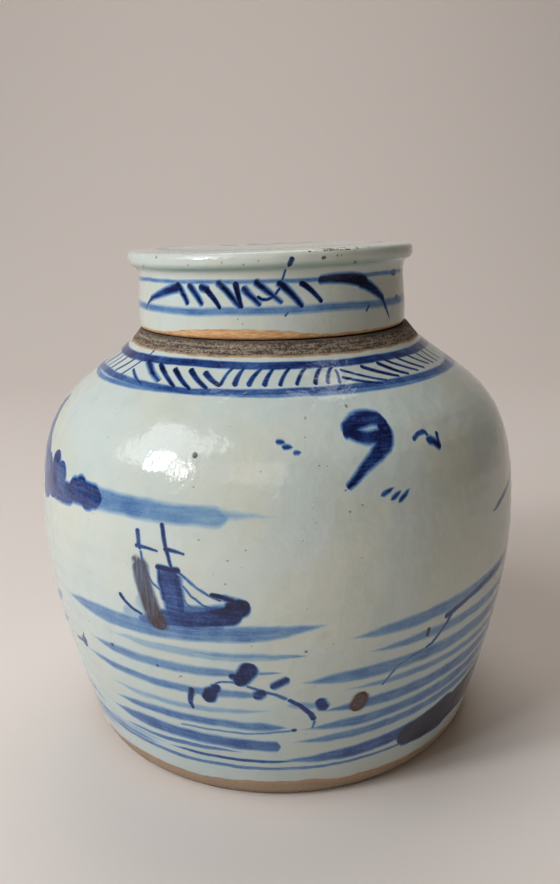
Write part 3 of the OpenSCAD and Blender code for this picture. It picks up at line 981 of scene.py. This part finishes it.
def cover_wall():
    """The cover's painted skirt and plain flange, with the bare foot of the skirt."""
    s = Surface("cover_wall")
    w = s.w
    azimuth = s.azimuth()
    sheet = s.sheet(azimuth, s.z, COVER_SCALE, shake=0.45)
    b = Brush(w, sheet, COVER_SCALE)
    paint_cover_wall(b)
    slow = s.noise(45.0, 1.0, 0.4)
    drift = w.scaled(slow, 2.4, -1.2)
    b.ring(198.1, 1.5, 0.46, drift, soft=1.6)
    b.ring(198.9, 0.4, 0.54, drift, soft=1.0)
    b.ring(209.3, 0.85, 0.48, w.scaled(slow, -2.0, 1.0), soft=1.0)
    colour = s.glaze_colour()
    # Glaze pooled green in the crease under the rim, darkened further there as painted shade
    pooled_glaze_and_shade = w.times(w.rise(s.z, 212.4, COVER_POOL_AND_SHADE_MM), w.rise(s.z, 217.2, COVER_POOL_AND_SHADE_MM + 0.4))
    colour = w.mix(w.times(pooled_glaze_and_shade, 0.75), colour, linear(150, 172, 160))
    colour = s.painted(colour, b.density, sheet)
    colour = add_rim_losses(s, azimuth, colour)
    rough_edge = w.times(s.noise(4.0, 3.0, 0.6), 1.4)
    # The glaze stops higher in a shallow crescent at the front left
    near = w.scaled(azimuth, 1 / 34, 14 / 34)
    crescent = w.math("SUBTRACT", 1.0, w.math("MULTIPLY", near, near), clamp=True)
    limit = w.scaled(crescent, 2.7, w.math("ADD", rough_edge, SKIRT_GLAZE_MM))
    bare = w.rise(w.minus(limit, s.z), -0.15, 0.25)
    streak = w.streaks(s.point, (0.22, 0.22, 1.5), 3.0, 0.6)
    clay = w.mix(w.rise(streak, 0.35, 0.65), CLAY_ORANGE, linear(214, 178, 132))
    # Painted shade on the skirt's foot, darker towards where it sits on the pot
    clay = w.mix(w.rise(s.z, 188.4, 187.3, 0.0, 0.6), clay, linear(120, 84, 56))
    return s.finish(w.mix(bare, colour, clay), bare, bumps=1.3)


def add_rim_losses(s, azimuth, colour):
    """Small black glaze losses along the rim, thickest towards the front right."""
    w = s.w
    right = w.scaled(azimuth, 1 / 18, -26 / 18)
    worn = w.math("SUBTRACT", 1.0, w.math("MULTIPLY", right, right), clamp=True)
    line = w.times(w.rise(s.z, 219.7, 220.1), w.rise(s.z, 220.9, 220.7))
    spots = s.noise(1.8, 3.0, 0.7)
    limit = w.scaled(worn, -0.24, 0.72)
    loss = w.times(w.math("GREATER_THAN", spots, limit), line)
    colour = w.mix(loss, colour, IRON_BLACK)
    iron = Brush(w, s.sheet(azimuth, s.z, COVER_SCALE, shake=0.3), COVER_SCALE)
    iron.dabs((
        (19, 217.5, 0.6, 2.0), (24.3, 218, 0.4, 0.8), (26, 218, 0.3, 0.6), (32.2, 215, 0.5, 1.3),
        (-3.8, 217.4, 0.3, 0.6), (-16.6, 217.3, 0.3, 0.6), (-46, 219.4, 0.5, 0.8),
        (-12.6, 195.3, 0.3, 0.6), (-56.5, 215.3, 0.5, 1.4), (-9, 216.2, 0.3, 0.5),
        (-30, 216.5, 0.3, 0.6),
    ), 0.9, lean=80)
    return w.mix(iron.density, colour, IRON_BLACK)


def cover_top():
    """The nearly flat top: two thin lines and a spray of leaves."""
    s = Surface("cover_top")
    w = s.w
    sheet = s.sheet(s.x, s.y, (1.0, 1.0), shake=0.6)
    b = Brush(w, sheet, (1.0, 1.0))
    paint_cover_top(b)
    reach = w.math("SQRT", w.math("ADD", w.times(s.x, s.x), w.times(s.y, s.y)))
    rings = Brush(w, w.add("ShaderNodeCombineXYZ", {1: reach}), (1.0, 1.0))
    rings.density = b.density
    drift = w.scaled(s.broad, 2.0, -1.0)
    rings.ring(49.5, 1.0, 0.5, drift)
    rings.ring(46.2, 0.5, 0.44, drift)
    colour = s.painted(s.glaze_colour(), rings.density, sheet)
    worn = w.times(w.rise(reach, 61.6, 62.6), w.rise(s.noise(2.2, 3.0, 0.7), 0.6, 0.64))
    colour = w.mix(worn, colour, IRON_BLACK)
    return s.finish(colour, w.times(worn, 0.8))


# ---- the two pieces

# The pot's floor and the recess under it reach this far from the axis
FOOT_REACH_MM = 84.0
BELLY_TOP_MM = 166.0
SEAT_MM = 187.0


def build_pot():
    outline = seam_outline("jar")
    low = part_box("jar")[0]
    lip = max(range(len(outline)), key=lambda i: outline[i][1])
    foot = max(i for i, p in enumerate(outline[:lip]) if p[1] < low.z / MM + 0.1)
    rings = resampled(outline, lambda first, last, middle: last <= foot or first >= lip, (lip,))
    top = int(np.argmax(rings[:, 1]))
    ground = max(i for i in range(top) if rings[i, 1] < 0.1)
    front, back = pot_belly("pot_front", False), pot_belly("pot_back", True)
    shoulder = pot_shoulder()
    clay = plain_clay("pot_bare_neck", 0.7)
    ring_clay = plain_clay("pot_foot_ring", 0.5)
    inside = plain_glaze("pot_inside")
    recess_reach = outline[1][0] + 1.5
    neck_inside_low = SEAT_MM - 6

    def look(i, radius, height):
        if i < ground:
            return [inside if radius < recess_reach else ring_clay] * 2
        if i < top and height < BELLY_TOP_MM:
            return [front, back]
        if i < top and height < SEAT_MM:
            return [shoulder] * 2
        return [clay if i < top or height > neck_inside_low else inside] * 2

    def shift(points):
        """A thrown pot's slow unevenness and faint ridges. The foot, seat and neck stay true."""
        radius, turn = polar(points)
        height = points[:, 2]
        outer = (radius > FOOT_REACH_MM) | (height > BELLY_TOP_MM)
        free = smooth(height, 6, 34) * smooth(height, SEAT_MM - 1.5, 160) * outer
        slow = 0.34 * np.sin(2 * turn + 1.2 + height / 70) + 0.22 * np.sin(3 * turn - 0.6 - height / 50)
        slow += 0.14 * np.sin(5 * turn + height / 31)
        ridge = 0.055 * np.sin(2 * np.pi * height / 8.3 + turn + 0.7 * np.sin(2 * turn + height / 23))
        ridge += 0.03 * np.sin(2 * np.pi * height / 3.7 - turn)
        return outwards(points, radius, (slow + ridge) * free)

    piece = revolve("jar_thrown", rings, shift, look, (inside, ring_clay, clay))
    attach(piece, "pot")
    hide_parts("jar")
    return piece


# The cover's hollow and the flat of its top reach this far from the axis
COVER_HOLLOW_MM = 56
COVER_FLAT_MM = 61.4
COVER_TILT_X = math.radians(-0.82)
COVER_TILT_Y = math.radians(-0.74)
COVER_SLIDE_MM = -1.16


def build_cover():
    outline = seam_outline("lid")
    low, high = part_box("lid")
    skirt_foot, crown = low.z / MM, high.z / MM
    rings = resampled(outline, lambda first, last, middle: (
        middle[0] < COVER_HOLLOW_MM and middle[1] < crown - 3
    ))
    # The outline runs from the ceiling out and down to the skirt's foot, then up the wall and in over the top
    bottom = max(i for i in range(len(rings)) if rings[i, 1] < skirt_foot + 0.1)
    rim = bottom + int(np.argmax(rings[bottom:, 0]))
    wall, top, clay = cover_wall(), cover_top(), plain_clay("cover_bare_inside", 0.35)

    def look(i, radius, height):
        return [clay if i < bottom else top if i > rim and radius < COVER_FLAT_MM else wall] * 2

    def shift(points):
        """A slight warp, and a lean from the skirt's foot up."""
        radius, turn = polar(points)
        height = points[:, 2]
        up = smooth(height, skirt_foot, skirt_foot + 14)
        warp = 0.22 * np.sin(2 * turn + 0.4) + 0.12 * np.sin(3 * turn + 2.0)
        ridge = 0.05 * np.sin(2 * np.pi * height / 4.6 + turn) * (radius > 57)
        moved = outwards(points, radius, (warp + ridge) * up)
        wave = 0.3 * np.sin(2 * turn - 0.9) + 0.15 * np.sin(3 * turn + 0.5)
        moved[:, 2] += wave * smooth(height, 205, crown - 2) * smooth(radius, 20, 62)
        lean = up[:, None] * np.array([[math.tan(COVER_TILT_X), math.tan(COVER_TILT_Y)]])
        moved[:, 2] += lean[:, 0] * points[:, 1] - lean[:, 1] * points[:, 0]
        rise = height - skirt_foot
        moved[:, 1] -= lean[:, 0] * rise
        moved[:, 0] += lean[:, 1] * rise + COVER_SLIDE_MM
        return moved

    piece = revolve("lid_thrown", rings, shift, look, (clay,))
    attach(piece, "cover")
    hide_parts("lid")
    return piece


add_camera()
add_stage()
add_lights()
build_pot()
build_cover()
